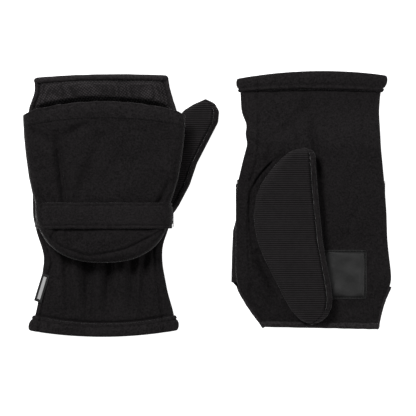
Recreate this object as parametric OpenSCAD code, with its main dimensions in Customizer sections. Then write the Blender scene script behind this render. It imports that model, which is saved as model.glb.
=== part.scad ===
// Pair of convertible flip-top mittens, laid flat on a table.
// The left mitten lies palm down with its cap folded back over the hand and its thumb spread.
// The right mitten lies palm up on its folded-back cap, with its thumb folded over the palm.
// Both are drawn in one hand frame: x towards the thumb, y from cuff to fingers, z from palm to back.

/* [Hand] */
// Half of the width at the cuff
cuff_half = 56.4; // [52:0.2:58]
// Half of the width at the gathered wrist
wrist_half = 46.2; // [42:0.2:50]
// Half of the width at the knuckles
knuckle_half = 56.7; // [54:0.1:57]
// Length from the cuff to the open finger edge
hand_len = 204.8; // [196:0.2:210]
// Thickness of the empty hand, palm face to back face
hand_thick = 13.4; // [12:0.1:16]
// Thickness of the fleece
fleece = 2.0; // [1.6:0.1:2.4]
// Thickness of the knitted lining
lining = 0.8; // [0.6:0.1:1]

/* [Cuff and wrist] */
// Depth of the folded cuff hem
hem_depth = 11; // [8:0.5:14]
// Thickness of the folded cuff hem
hem_wall = 3.6; // [3:0.1:4]
// Nearest edge of the wrist elastic from the cuff
elastic_y = 66; // [60:1:72]
// Width of the wrist elastic
elastic_w = 8; // [6:0.5:10]
// How far the right cuff sinks to reach the table beside its cap
cuff_drop = 19; // [19:0.1:19]

/* [Cap] */
// Distance from the cuff to the seam that the cap turns on
hinge_y = 164; // [164:1:164]
// Half of the cap's width where its tip rounds off
tip_half = 52.2; // [50:0.1:52.4]
// Length of the rounded tip
tip_len = 46.4; // [42:0.2:48]
// Height of the cap's pouch between its two fleece faces
pouch = 12.4; // [11:0.1:12.4]
// Thickness of the cap's folded hem
cap_hem_t = 2.6; // [2.2:0.1:2.6]

/* [Strap] */
// Width of the strap that holds the cap back
strap_w = 20; // [16:1:22]
// Nearest edge of the strap from the cuff
strap_y = 84; // [84:1:86]
// Thickness of the strap
strap_t = 1.8; // [1.5:0.1:1.8]

/* [Thumb] */
// Thickness of the flattened thumb
thumb_thick = 11.2; // [10:0.1:11.2]
// Thickness of the ribbed knit face
rib_t = 1.8; // [1.4:0.1:2]
// Width of the fleece binding along the thumb's outer seam
binding_w = 3.2; // [2:0.2:4]

/* [Palm patch] */
// Width of the grip patch
patch_w = 33; // [28:1:34]
// Length of the grip patch
patch_l = 38; // [34:1:40]

/* [Hidden] */
gap = 0.2;
clear = 0.3;
wall = 3;
rim_y0 = hem_depth + gap;
edge_y = hand_len - 3.6;
back_z0 = hand_thick - fleece;
inner_z0 = fleece + gap;
inner_z1 = back_z0 - gap;
cap_z0 = hand_thick + 0.4;
cap_in0 = cap_z0 + fleece;
cap_z1 = cap_in0 + pouch;
cap_top0 = cap_z1 + gap;
strap_z1 = cap_top0 + fleece + gap + strap_t;
step_y = 144;
drop_y0 = 24;
drop_y1 = 56;
thumb_low = clear;
thumb_high = 4.2;
label_t = 0.6;
thumb_top = thumb_thick - rib_t - gap;
strap_out = 56.2;
strap_in = 54.4;
strap_foot = 52.6;
patch_at = [-24.2, 157.2];
stitch_in = 2;
stitch_w = 0.7;
mitt_x = 81.1;
mitt_y = 103;
far = 400;

fleece_c = [0.11, 0.104, 0.108];
rib_c = [0.14, 0.13, 0.135];
lining_c = [0.13, 0.12, 0.125];
leather_c = [0.21, 0.21, 0.21];
thread_c = [0.08, 0.08, 0.08];
elastic_c = [0.16, 0.155, 0.16];
label_c = [0.30, 0.30, 0.31];

LEFT = 0;
RIGHT = 1;

// ---- Outlines, all counter-clockwise ----

function unit(v) = v / norm(v);
function inward(a, b) = unit([a[1] - b[1], b[0] - a[0]]);

// Every corner of an outline moved inwards by d along the bisector of its two edges.
function inset(pts, d) = [for (i = [0:len(pts) - 1])
    let (n = len(pts), a = pts[(i + n - 1) % n], b = pts[i], c = pts[(i + 1) % n])
    let (n1 = inward(a, b), n2 = inward(b, c), m = unit(n1 + n2))
    b + m * d / max(0.5, m * n1)];

function backwards(list) = [for (i = [len(list) - 1:-1:0]) list[i]];

// Half-widths of the hand from the cuff to the fingers, as [half width, y].
// Both ends run on, because every slab is cut to length by its side profile.
hand_side = [
    [cuff_half - 1.4, -20], [cuff_half - 1.4, 0], [cuff_half, 4], [cuff_half, 8], [cuff_half - 3.1, 19.5],
    [(cuff_half + wrist_half) / 2 - 1.4, 34], [wrist_half, 57], [wrist_half, 65],
    [knuckle_half - 5.9, 79], [knuckle_half - 3.1, 93], [knuckle_half, 176],
    [knuckle_half - 5.9, 192], [knuckle_half - 6.5, hand_len - 2], [knuckle_half - 9, hand_len],
    [knuckle_half - 9, hand_len + 20]
];
hand_outline = concat(hand_side, [for (p = backwards(hand_side)) [-p[0], p[1]]]);

// Cap: a superellipse tip, sides that flare towards the mouth, and a bowed mouth edge.
cap_thumb_side = [[55, 112], [58.5, 124], [61.2, 140], [62.9, 155], [63.64, 172.4]];
cap_pinky_side = [[-54.6, 112], [-57.2, 124], [-59.4, 140], [-60.9, 155], [-61.64, 172.4]];
tip_y = 104;
function bow(x, top, sag) = top - sag * pow((x - 1) / 62.64, 2);
function cap_outline() = concat(
    [for (a = [180:12:360]) let (c = cos(a), s = abs(sin(a)))
        [sign(c) * pow(abs(c), 1 / 1.2) * tip_half, tip_y - pow(s, 1 / 1.2) * tip_len]],
    cap_thumb_side,
    [for (i = [1:9]) let (x = 63.64 - 12.528 * i) [x, bow(x, 182, 9.6)]],
    backwards(cap_pinky_side));
function under_bow(top, sag) = concat(
    [[-70, 0], [70, 0]],
    [for (i = [0:10]) let (x = 70 - 14 * i) [x, bow(x, top, sag)]]);

// Thumbs: the left one is spread beside the hand, the right one is folded over the palm.
thumb_outline = [
    [[54.4, 94], [56.8, 94], [66.8, 117.8], [72.4, 134.5], [81.9, 152.9], [88.9, 166.5],
     [89.7, 174.9], [86.3, 181.8], [79.3, 185.3], [71, 184.9], [64.2, 180.6], [64.2, 144.5],
     [56, 137]],
    [[4, 59.5], [18.2, 62], [31.2, 71.2], [40.3, 84.2], [44.9, 98.5], [46.2, 118],
     [43.5, 132.4], [37.7, 148], [32.5, 167.4], [18.2, 183], [5.2, 192.1], [-3.9, 193.4],
     [-10.4, 188], [-13.6, 176], [-13, 167.5], [-6.5, 131], [-2.6, 92], [-0.7, 64.7]]
];

// The room inside the left thumb starts higher up, where the thumb is wide enough for it.
thumb_room = [
    concat([[54.8, 106], [61.9, 106]], [for (i = [2:12]) thumb_outline[LEFT][i]]),
    thumb_outline[RIGHT]
];

// ---- Building blocks ----

// The left mitten is set down as it is. The right one is the same hand turned over,
// point-reflected so that its palm faces up and its fingers point the other way.
module mitten(m) {
    if (m == LEFT)
        translate([-mitt_x, -mitt_y, 0]) children();
    else
        translate([mitt_x, mitt_y, strap_z1])
            mirror([1, 0, 0]) mirror([0, 1, 0]) mirror([0, 0, 1]) children();
}

// The right cuff sinks from drop_y1 to drop_y0, short of the cap's tip.
function drop(m, y) = m == LEFT ? 0 : cuff_drop * lookup(y, [[drop_y0, 1], [drop_y1, 0]]);
function drop_steps(m, y0, y1) = concat([y0],
    [for (y = [drop_y0, drop_y1]) if (m == RIGHT && y > y0 && y < y1) y], [y1]);

// A side profile, as [y, z] points, drawn right through the hand from side to side.
module profile(pts) {
    translate([-far / 2, 0, 0]) rotate([90, 0, 90]) linear_extrude(far) polygon(pts);
}

// A slab of the hand between two heights and two distances from the cuff.
module slab(m, d, z0, z1, y0, y1) {
    ys = drop_steps(m, y0, y1);
    intersection() {
        translate([0, 0, -5]) linear_extrude(60) polygon(inset(hand_outline, d));
        profile(concat([for (y = ys) [y, z0 + drop(m, y)]],
                       [for (y = backwards(ys)) [y, z1 + drop(m, y)]]));
    }
}

// Half of the hand's room, to cut a slab at the side: s is 1 for the thumb side.
module beyond(s, d, y0, y1) {
    intersection() {
        difference() {
            translate([0, 0, -5]) linear_extrude(60) polygon(inset(hand_outline, -1));
            translate([0, 0, -6]) linear_extrude(62) polygon(inset(hand_outline, d));
        }
        translate([s > 0 ? 20 : -80, y0, -6]) cube([60, y1 - y0, 62]);
    }
}

// Oval hole where the folded thumb joins the palm, or the slot where the spread one does.
module thumb_way(m, grow) {
    if (m == LEFT)
        translate([40, 106 - grow, 3.2 - grow]) cube([22, 30 + 2 * grow, 5.2 + 2 * grow]);
    else
        translate([25, 99, -9]) linear_extrude(12)
            polygon([for (a = [0:15:345]) [(11 + grow) * cos(a), (19 + grow) * sin(a)]]);
}

// ---- Hand ----

module palm_panel(m) {
    color(fleece_c) difference() {
        union() {
            difference() {
                slab(m, 0, 0, fleece, rim_y0, edge_y - gap);
                beyond(1, wall + gap, 0, hand_len);
            }
            intersection() {
                union() {
                    slab(m, 0, 0, inner_z1, rim_y0, hinge_y - 1);
                    slab(m, 0, 0, 9, rim_y0, edge_y - gap);
                }
                beyond(-1, wall, rim_y0, edge_y - gap);
            }
        }
        patch_block(-gap, -1, 1.1);
        if (m == RIGHT) thumb_way(m, 0.6);
    }
}

module palm_lining(m) {
    color(lining_c) difference() {
        slab(m, wall + 2 * gap, inner_z0, inner_z0 + lining, rim_y0, edge_y - gap);
        if (m == RIGHT) thumb_way(m, 0);
    }
}

module back_panel(m) {
    color(fleece_c) difference() {
        slab(m, 0, back_z0, hand_thick, rim_y0, hinge_y);
        beyond(1, wall + gap, 0, hand_len);
        slab(m, wall + gap, back_z0 - 1, back_z0 + 1, elastic_y - gap, elastic_y + elastic_w + gap);
    }
}

module back_lining(m) {
    color(lining_c)
        slab(m, wall + 2 * gap, inner_z1 - lining, inner_z1, rim_y0, hinge_y);
}

module wrist_elastic(m) {
    color(elastic_c)
        slab(m, wall + 3 * gap, back_z0, back_z0 + 0.8, elastic_y, elastic_y + elastic_w);
}

module side_gusset(m) {
    color(fleece_c) difference() {
        intersection() {
            union() {
                slab(m, 0, 0, hand_thick, rim_y0, hinge_y);
                slab(m, 0, 0, 9, rim_y0, edge_y - gap);
            }
            beyond(1, wall, rim_y0, edge_y - gap);
        }
        if (m == LEFT) thumb_way(m, 0);
    }
}

module cuff_hem(m) {
    color(fleece_c) difference() {
        slab(m, 0, 0, hand_thick, 0, hem_depth);
        slab(m, hem_wall, fleece + lining, hand_thick - fleece - lining, -1, hem_depth + 1);
    }
}

module finger_edge_binding(m) {
    color(fleece_c) slab(m, 0, 0, 3.6, edge_y, hand_len);
}

// A block in the patch's place, set in by d on every side, between two heights.
module patch_block(d, z0, z1) {
    translate([patch_at[0] - patch_w / 2 + d, patch_at[1] - patch_l / 2 + d, z0])
        cube([patch_w - 2 * d, patch_l - 2 * d, z1 - z0]);
}

module palm_patch(m) {
    color(leather_c) patch_block(0, clear, 1);
}

module patch_stitching(m) {
    color(thread_c) difference() {
        patch_block(stitch_in, 0.05, clear);
        patch_block(stitch_in + stitch_w, -1, 1);
    }
}

// ---- Strap that holds the cap back ----

module holding_strap(m) {
    color(fleece_c) translate([0, strap_y, 0]) {
        translate([-strap_out, 0, strap_z1 - strap_t]) cube([2 * strap_out, strap_w, strap_t]);
        for (s = [-1, 1]) {
            translate([s > 0 ? strap_in : -strap_out, 0, cap_z0])
                cube([strap_out - strap_in, strap_w, strap_z1 - strap_t - cap_z0]);
            translate([s > 0 ? strap_foot : -strap_out, 0, hand_thick + gap])
                cube([strap_out - strap_foot, strap_w, 1.4]);
        }
    }
}

module strap_tacks(m) {
    color(thread_c) for (s = [-1, 1], y = [strap_y + 3, strap_y + strap_w - 5])
        translate([s > 0 ? strap_out : -strap_out - 0.6, y, cap_z0 + 1]) cube([0.6, 2, 5]);
}

module side_label() {
    color(label_c) translate([0, 0, hand_thick + gap]) linear_extrude(label_t)
        polygon([[-48.8, 49], [-53.4, 27], [-48.8, 25.8], [-44, 48]]);
}

// ---- Cap ----

module cap_slab(d, z0, z1, y1) {
    intersection() {
        translate([0, 0, z0]) linear_extrude(z1 - z0) polygon(inset(cap_outline(), d));
        translate([-80, 0, z0 - 1]) cube([160, y1, z1 - z0 + 2]);
    }
}

module cap_back_panel(m) {
    color(fleece_c) difference() {
        cap_slab(0, cap_z0, cap_z1, hinge_y - clear);
        cap_slab(fleece + gap, cap_in0, cap_z1 + 1, hinge_y + 5);
    }
}

module cap_lining(m) {
    color(lining_c) difference() {
        cap_slab(fleece + 2 * gap, cap_in0 + gap, cap_z1, hinge_y - 2 * clear);
        cap_slab(fleece + 2 * gap + lining, cap_in0 + gap + lining, cap_z1 - lining, hinge_y + 5);
    }
}

module cap_palm_panel(m) {
    color(fleece_c) intersection() {
        cap_slab(0, cap_top0, cap_top0 + fleece, far);
        translate([0, 0, cap_top0 - 1]) linear_extrude(6) polygon(under_bow(168.3, 6.2));
    }
}

module cap_hem(m) {
    color(fleece_c) difference() {
        cap_slab(0, cap_top0, cap_top0 + cap_hem_t, far);
        translate([0, 0, cap_top0 - 1]) linear_extrude(6) polygon(under_bow(168.5, 6.2));
    }
}

// ---- Thumb ----

// Strip of width w along the thumb's outer edge, where its seam binding lies.
module binding_zone(m, w) {
    toward_hand = m == LEFT ? -1 : 1;
    big = inset(thumb_outline[m], -1);
    intersection() {
        difference() {
            polygon(big);
            translate([toward_hand * (w + 1), 0]) polygon(big);
        }
        if (m == LEFT) translate([50, 98]) square([50, 78]);
        else translate([-20, 66]) square([36, 118]);
    }
}

// Anything drawn between two heights over the palm's plane. The lower one steps up
// past step_y, so that the closed cap's palm side slides in under the folded thumb.
module thumb_layer(m, t0, s0, t1) {
    up = m == LEFT ? 1 : -1;
    intersection() {
        translate([0, 0, -20]) linear_extrude(40) children();
        profile([[0, up * t0], [step_y - 1.4, up * t0], [step_y, up * s0], [far, up * s0],
                 [far, up * t1], [0, up * t1]]);
    }
}

module thumb_shape(m, d) {
    difference() {
        polygon(d == 0 ? thumb_outline[m] : inset(thumb_room[m], d));
        binding_zone(m, binding_w + gap + d);
    }
}

module thumb_rib_panel(m) {
    color(rib_c)
        thumb_layer(m, thumb_thick - rib_t, thumb_thick - rib_t, thumb_thick) thumb_shape(m, 0);
}

module thumb_fleece_panel(m) {
    color(fleece_c) difference() {
        thumb_layer(m, thumb_low, thumb_high, thumb_top) thumb_shape(m, 0);
        thumb_layer(m, thumb_low + 1.6, thumb_high + 1.4, far / 20) thumb_shape(m, 2);
        thumb_way(m, 0.6);
    }
}

module thumb_lining(m) {
    color(lining_c) difference() {
        thumb_layer(m, thumb_low + 1.8, thumb_high + 1.6, thumb_top) thumb_shape(m, 2.2);
        thumb_layer(m, thumb_low + 2.4, thumb_high + 2.2, thumb_top - 0.6) thumb_shape(m, 2.8);
        thumb_way(m, 0);
    }
}

module thumb_binding(m) {
    color(fleece_c) thumb_layer(m, thumb_low, thumb_high, thumb_thick - 0.6) intersection() {
        polygon(thumb_outline[m]);
        binding_zone(m, binding_w);
    }
}

// ---- Pair ----

mitten(LEFT) palm_panel(LEFT);  // left_palm_panel
mitten(LEFT) palm_lining(LEFT);  // left_palm_lining
mitten(LEFT) back_panel(LEFT);  // left_back_panel
mitten(LEFT) back_lining(LEFT);  // left_back_lining
mitten(LEFT) side_gusset(LEFT);  // left_side_gusset
mitten(LEFT) cuff_hem(LEFT);  // left_cuff_hem
mitten(LEFT) wrist_elastic(LEFT);  // left_wrist_elastic
mitten(LEFT) finger_edge_binding(LEFT);  // left_finger_edge_binding
mitten(LEFT) palm_patch(LEFT);  // left_palm_patch
mitten(LEFT) patch_stitching(LEFT);  // left_patch_stitching
mitten(LEFT) holding_strap(LEFT);  // left_holding_strap
mitten(LEFT) strap_tacks(LEFT);  // left_strap_tacks
mitten(LEFT) side_label();  // left_side_label
mitten(LEFT) cap_back_panel(LEFT);  // left_cap_back_panel
mitten(LEFT) cap_lining(LEFT);  // left_cap_lining
mitten(LEFT) cap_palm_panel(LEFT);  // left_cap_palm_panel
mitten(LEFT) cap_hem(LEFT);  // left_cap_hem
mitten(LEFT) thumb_rib_panel(LEFT);  // left_thumb_rib_panel
mitten(LEFT) thumb_fleece_panel(LEFT);  // left_thumb_fleece_panel
mitten(LEFT) thumb_lining(LEFT);  // left_thumb_lining
mitten(LEFT) thumb_binding(LEFT);  // left_thumb_binding
mitten(RIGHT) palm_panel(RIGHT);  // right_palm_panel
mitten(RIGHT) palm_lining(RIGHT);  // right_palm_lining
mitten(RIGHT) back_panel(RIGHT);  // right_back_panel
mitten(RIGHT) back_lining(RIGHT);  // right_back_lining
mitten(RIGHT) side_gusset(RIGHT);  // right_side_gusset
mitten(RIGHT) cuff_hem(RIGHT);  // right_cuff_hem
mitten(RIGHT) wrist_elastic(RIGHT);  // right_wrist_elastic
mitten(RIGHT) finger_edge_binding(RIGHT);  // right_finger_edge_binding
mitten(RIGHT) palm_patch(RIGHT);  // right_palm_patch
mitten(RIGHT) patch_stitching(RIGHT);  // right_patch_stitching
mitten(RIGHT) holding_strap(RIGHT);  // right_holding_strap
mitten(RIGHT) strap_tacks(RIGHT);  // right_strap_tacks
mitten(RIGHT) cap_back_panel(RIGHT);  // right_cap_back_panel
mitten(RIGHT) cap_lining(RIGHT);  // right_cap_lining
mitten(RIGHT) cap_palm_panel(RIGHT);  // right_cap_palm_panel
mitten(RIGHT) cap_hem(RIGHT);  // right_cap_hem
mitten(RIGHT) thumb_rib_panel(RIGHT);  // right_thumb_rib_panel
mitten(RIGHT) thumb_fleece_panel(RIGHT);  // right_thumb_fleece_panel
mitten(RIGHT) thumb_lining(RIGHT);  // right_thumb_lining
mitten(RIGHT) thumb_binding(RIGHT);  // right_thumb_binding
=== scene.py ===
import bmesh
import bpy
import numpy as np
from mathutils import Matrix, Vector


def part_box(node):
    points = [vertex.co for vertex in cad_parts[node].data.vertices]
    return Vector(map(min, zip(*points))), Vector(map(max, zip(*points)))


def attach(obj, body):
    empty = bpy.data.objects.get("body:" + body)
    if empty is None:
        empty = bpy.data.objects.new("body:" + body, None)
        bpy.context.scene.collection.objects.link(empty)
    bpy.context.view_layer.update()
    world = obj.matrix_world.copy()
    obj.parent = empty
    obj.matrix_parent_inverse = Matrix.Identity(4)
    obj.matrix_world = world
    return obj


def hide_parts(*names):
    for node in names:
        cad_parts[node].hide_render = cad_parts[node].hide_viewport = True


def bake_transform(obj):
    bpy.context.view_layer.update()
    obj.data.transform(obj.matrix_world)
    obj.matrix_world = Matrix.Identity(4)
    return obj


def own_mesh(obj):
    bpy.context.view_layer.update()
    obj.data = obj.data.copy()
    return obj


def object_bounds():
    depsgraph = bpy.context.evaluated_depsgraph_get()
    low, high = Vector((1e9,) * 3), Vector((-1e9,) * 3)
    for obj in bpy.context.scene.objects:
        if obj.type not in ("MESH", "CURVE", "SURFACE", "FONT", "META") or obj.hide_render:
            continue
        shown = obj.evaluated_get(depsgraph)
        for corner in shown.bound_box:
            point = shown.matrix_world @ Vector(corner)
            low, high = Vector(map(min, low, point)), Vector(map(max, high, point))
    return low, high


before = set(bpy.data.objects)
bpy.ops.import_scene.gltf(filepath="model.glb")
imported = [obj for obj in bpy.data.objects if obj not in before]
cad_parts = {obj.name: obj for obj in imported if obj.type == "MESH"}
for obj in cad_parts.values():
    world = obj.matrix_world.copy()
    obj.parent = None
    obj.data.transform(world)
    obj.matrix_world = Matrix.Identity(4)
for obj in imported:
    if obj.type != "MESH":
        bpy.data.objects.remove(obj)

CAD_LOW, CAD_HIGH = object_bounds()

# Every shape below is worked out in the mitten's own frame, in mm: x grows towards the thumb,
# y from the cuff edge to the fingers, z from the palm face to the back of the hand.
MM = 0.001
SIDES = ("left", "right")
HAND_THICK = 13.4
HAND_MIDDLE = HAND_THICK / 2
FLEECE_THICK = 1.8
LINING_THICK = 0.8
LINING_INSET = 2.1
HINGE_Y = 164.0
CAP_MIDDLE = 21.4
CAP_RISE = 8.8
CAP_DROP = 7.4
CAP_TIP_Y = 57.6
CAP_ROUND_Y = 104.0
CAP_ROUND_HALF = 52.2
CAP_ROUND_POWER = 2.4
STRAP_Y = 94.0
STRAP_HALF_WIDTH = 10.0
RIB_PITCH = 1.64
HAND_CENTRE_Y = 103.0
TABLE_Z = 32.4


def mitten_place(side):
    """Where the mitten's own frame lies in the row frame: its origin and the sign of all three axes. The
    right mitten is the left one mirrored and turned over, which is one reflection through a point."""
    strap_low, strap_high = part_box(side + "_holding_strap")
    hem_low, hem_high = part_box(side + "_cuff_hem")
    palm_low, palm_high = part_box(side + "_palm_panel")
    middle = (strap_low[0] + strap_high[0]) / 2
    if side == "left":
        return np.array([middle, hem_low[1], palm_low[2]]), 1.0
    return np.array([middle, hem_high[1], palm_high[2]]), -1.0


PLACE = {side: mitten_place(side) for side in SIDES}


def row_frame(side, points):
    """Points in mm in the mitten's frame, moved into the row frame in metres."""
    origin, sign = PLACE[side]
    return origin + sign * MM * np.asarray(points, float)


# ---- shapes -----------------------------------------------------------------------------------


def smooth_line(table, at, reach=4.0):
    """Broken line through the table's points, averaged over nine places within reach on either side, so
    that its corners come out round."""
    knots = np.array(table, float)
    near = np.asarray(at, float)[..., None] + np.linspace(-reach, reach, 9)
    return np.interp(near, knots[:, 0], knots[:, 1]).mean(-1)


def soft_noise(x, y, size, seed):
    """Sum of fourteen plane waves of about one length, with seeded headings and phases, from about -1
    to 1."""
    random = np.random.default_rng(seed)
    heading = random.uniform(0, np.pi, 14)
    phase = random.uniform(0, 2 * np.pi, 14)
    length = size * random.uniform(0.7, 1.6, 14)
    across = x[..., None] * np.cos(heading) + y[..., None] * np.sin(heading)
    return np.sin(2 * np.pi * across / length + phase).sum(-1) / 5.3


def bell(off, width):
    """Gaussian of the distance off: 1 where it is 0, and one part in e at width from there."""
    return np.exp(-((off / width) ** 2))


def edge_room(s, power):
    """One in the middle of the width, falling to 0 at both edges, the later the higher the power."""
    return np.clip(1 - np.abs(s) ** power, 0, 1)


def soft_step(share):
    """Smooth step from 0 to 1: three times the share's square less twice its cube."""
    return share * share * (3 - 2 * share)


def fold_line(x, y, start, end, width, depth):
    """Valley of Gaussian section along a straight line, as deep as depth half way and fading out at
    both ends."""
    a = np.array(start, float)
    along_line = np.array(end, float) - a
    length = np.hypot(*along_line)
    unit = along_line / length
    run = ((x - a[0]) * unit[0] + (y - a[1]) * unit[1]) / length
    off = (x - a[0]) * unit[1] - (y - a[1]) * unit[0]
    fade = np.clip(1 - (2 * run - 1) ** 2, 0, 1) ** 0.6
    return -depth * fade * bell(off, width)


def seam_groove(off, width=1.0, depth=1.3):
    """Valley of Gaussian section at the distance off from a seam."""
    return -depth * bell(off, width)


def roundness(distance, reach):
    """Quarter circle: 0 at the rim, rising to 1 at reach from it and staying there."""
    return np.sqrt(np.clip(1 - (1 - np.clip(distance / reach, 0, 1)) ** 2, 0, 1))


def spread(count):
    """Places from -1 to 1 that lie closer together towards both ends, as minus the cosine of even
    angles."""
    return -np.cos(np.linspace(0, np.pi, count))


# Half outlines of the hand as (y, x): the little finger's side and the thumb's side of each mitten.
LITTLE_EDGE = {
    "left": [(0, -55.2), (6, -56.5), (20, -52.3), (34, -49.8), (50, -47.6), (60, -46.2), (68, -47.6),
             (79, -51.6), (93, -55), (109, -55.2), (150, -56.6), (176, -57.2), (190, -51.8), (204, -52.8)],
    "right": [(0, -55), (5, -56.4), (17, -52.9), (32, -51.5), (60, -52.2), (85, -54.6), (109, -56.4),
              (130, -57), (143, -58.3), (153, -59.6), (161, -60.2), (167, -59), (173, -55.8), (182, -52.6),
              (191, -50.3), (204, -48.3)],
}
THUMB_EDGE = {
    "left": [(0, 53), (7, 56.2), (19, 54.3), (34, 49.9), (55, 45.9), (65, 45.4), (72, 46.2), (83, 50.2),
             (93, 52.6), (110, 53.6), (150, 55.6), (174, 56.2), (178, 54.3), (193, 49.9), (204, 48.2)],
    "right": [(0, 55.4), (5, 56.6), (18, 55.9), (32, 55.2), (43, 50.6), (50, 53.2), (54, 50.4), (60, 51.6),
              (68, 53.9), (85, 57.9), (95, 59.7), (158, 59.8), (169, 57.2), (183, 48.8), (197, 38.3),
              (204, 34)],
}
# Seams of the narrow side strips, as (y, x).
BACK_SEAMS = {
    "left": [[(0, -51), (27, -47), (50, -42.5), (57, -39.5), (66, -42.5), (81, -48.6), (164, -51)],
             [(0, 46.6), (18.7, 45.2), (55.4, 39.8), (65.5, 38.2), (90, 45), (164, 49)]],
    "right": [[(0, -46), (50, -43), (164, -49)], [(0, 45), (50, 42), (90, 49), (164, 50)]],
}
PALM_SEAMS = {
    "left": [[(0, 44), (50, 38), (70, 38.5), (90, 45), (204, 44)]],
    "right": [[(0, 42.5), (49, 42.3), (70, 43.7), (88, 48.8), (122, 50.7), (174, 48.4), (204, 34)]],
}
# The fleece's edge round the right palm's thumb hole, as (y, x).
HOLE_RIM = [(60, 23), (66, 28), (71, 33), (78, 40), (85, 45), (92, 48.6), (103, 49.8), (122, 49.6),
            (150, 47)]
# Gathers of the wrist: place across, height and half width.
GATHERS = {
    "left": [(-43, -1.1, 2.6), (-36, 0.7, 3), (-30.4, -1.5, 2.8), (-22.6, 1.2, 3.6), (-13.6, -3.3, 3.4),
             (-4.8, 1.2, 3.4), (3.5, -3.1, 3.0), (14.8, 1.3, 4.4), (24, -1.5, 2.8), (28.6, 0.9, 2.4),
             (33.5, -1.4, 2.4), (42, 1.0, 3)],
    "right": [(-38, -0.8, 3), (-24, 0.6, 5), (-8, -0.8, 4), (6, 0.5, 5), (19, -0.8, 4), (34, -0.7, 3)],
}
# Folds of the palm: start, end, half width and depth.
PALM_FOLDS = {
    "left": [((-30, 60), (-10, 48), 5, 0.8), ((20, 62), (34, 50), 4, 0.8), ((-20, 150), (20, 158), 7, 0.6)],
    "right": [((1, 24), (28, 52), 4.0, 3.6), ((2.5, 38), (-4, 84), 2.6, 3.6), ((-2, 60),
              (-10, 150), 3.4, 1.4),
              ((60, 48), (38, 60), 1.8, 2.6), ((61, 42), (42, 36), 2.6, 1.4), ((8, 12), (3, 34), 4.5, 2.2),
              ((30, 14), (20, 40), 5, 1.8),
              ((26, 176), (45, 138), 4.0, 4.5), ((30, 186), (50, 164), 3.2, 2.4), ((-54, 60),
              (-38, 50), 3, 1.2),
              ((-30, 24), (-18, 50), 6, 0.9), ((-40, 100), (-30, 140), 8, 0.8), ((-46, 176),
              (-20, 186), 5, 0.9)],
}


def hand_drop(side, y):
    """How far the free cuff of the mitten lying palm up sags to the table: a smooth step from none at y
    66 to the whole height at y 12."""
    if side == "left":
        return 0 * y
    share = np.clip((66 - y) / 54, 0, 1)
    return (TABLE_Z - HAND_THICK) * soft_step(share)


def on_table(side, z, gap=0.0):
    """Heights kept gap or more above the table, which lies under the left palm and under the right back."""
    return np.maximum(z, gap) if side == "left" else np.minimum(z, TABLE_Z - gap)


def across_from(low, high, s):
    """The place between low and high at the share s, which runs from -1 to 1."""
    return (low + high) / 2 + (high - low) / 2 * s


def hand_edges(side, y):
    """The hand's edge on the little finger's side and on the thumb's side."""
    return smooth_line(LITTLE_EDGE[side], y), smooth_line(THUMB_EDGE[side], y)


def hand_x(side, y, s, inset=0.0):
    """Place across the hand at the share s from -1, little finger's side, to 1, thumb's side."""
    low, high = hand_edges(side, y)
    return across_from(low + inset, high - inset, s)


def hand_share(side, x, y):
    """The share across the hand, from -1 to 1, at which x lies."""
    low, high = hand_edges(side, y)
    return np.clip((2 * x - low - high) / (high - low), -1, 1)


def wrist_gathers(side, x, y):
    """Ridges and valleys of the gathered wrist: each a Gaussian across the hand, strongest at the
    elastic and running out towards the cuff, with finer puckers right at the elastic."""
    strong = bell(y - 66, 11) + 0.9 * bell(y - 40, 23)
    height = sum(h * bell(x - x0 * (0.85 + 0.15 * y / 66), w) for x0, h, w in GATHERS[side])
    fine = 1.5 * np.sin(2 * np.pi * x / 8.3 + 1.6 * np.sin(x / 9)) * bell(y - 59, 9)
    return 1.7 * height * strong + fine


def back_z(side, x, y, s, inset=0.0):
    """Height of the back of the hand: a flat top with round edges, its gathers, seams and soft
    unevenness."""
    rise = (HAND_MIDDLE - inset) * np.sqrt(edge_room(s, 6))
    room = edge_room(s, 8)
    free = np.clip((70 - y) / 12, 0.12, 1)
    detail = wrist_gathers(side, x, y) * free + 0.35 * free * soft_noise(x, y, 26, 3)
    for seam in BACK_SEAMS[side]:
        detail = detail + seam_groove(x - smooth_line(seam, y), 1.1, 2.6)
    detail = detail + seam_groove(y - cuff_stitch_y(side, s) - 0.9, 1.2, 1.7)
    return on_table(side, HAND_MIDDLE + rise + room * detail + hand_drop(side, y), 0.2)


def palm_z(side, x, y, s, inset=0.0):
    """Height of the palm: the back's section turned over, with the palm's own folds and seams."""
    rise = (HAND_MIDDLE - inset) * np.sqrt(edge_room(s, 6))
    room = edge_room(s, 8)
    detail = 0.28 * soft_noise(x, y, 34, 8) + 0.55 * np.clip(1 - ((y - 60) / 22) ** 2, 0, 1)
    detail = detail - 0.45 * wrist_gathers(side, x, y)
    for start, end, width, depth in PALM_FOLDS[side]:
        detail = detail - fold_line(x, y, start, end, width, depth)
    for seam in PALM_SEAMS[side]:
        detail = detail - seam_groove(x - smooth_line(seam, y), 1.0, 1.6)
    detail = detail - seam_groove(y - cuff_stitch_y(side, s) - 0.9, 1.2, 1.7)
    if side == "left":
        detail = np.abs(detail) * 0.5
    else:
        off = x - smooth_line(HOLE_RIM, y)
        rim = 1.1 * bell(off - 1.4, 1.5) - 2.0 * bell(off + 1.0, 0.9)
        detail = detail - rim * np.clip((y - 66) / 6, 0, 1) * np.clip((150 - y) / 20, 0, 1)
    return HAND_MIDDLE - rise + room * detail + hand_drop(side, y)


CAP_FLANK_Y = [104, 112, 124, 140, 155, 173, 183]
CAP_FLANKS = {
    "left": ([52.2, 54.6, 57.2, 59.4, 60.9, 61.8, 61.2], [52.2, 55, 58.5, 61.2, 62.9, 63.8, 63.2]),
    "right": ([52.2, 53.6, 55.5, 57.2, 58.2, 57.6, 56.5], [53.6, 58.6, 61.8, 62.5, 62.9, 63.2, 62.8]),
}


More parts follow.
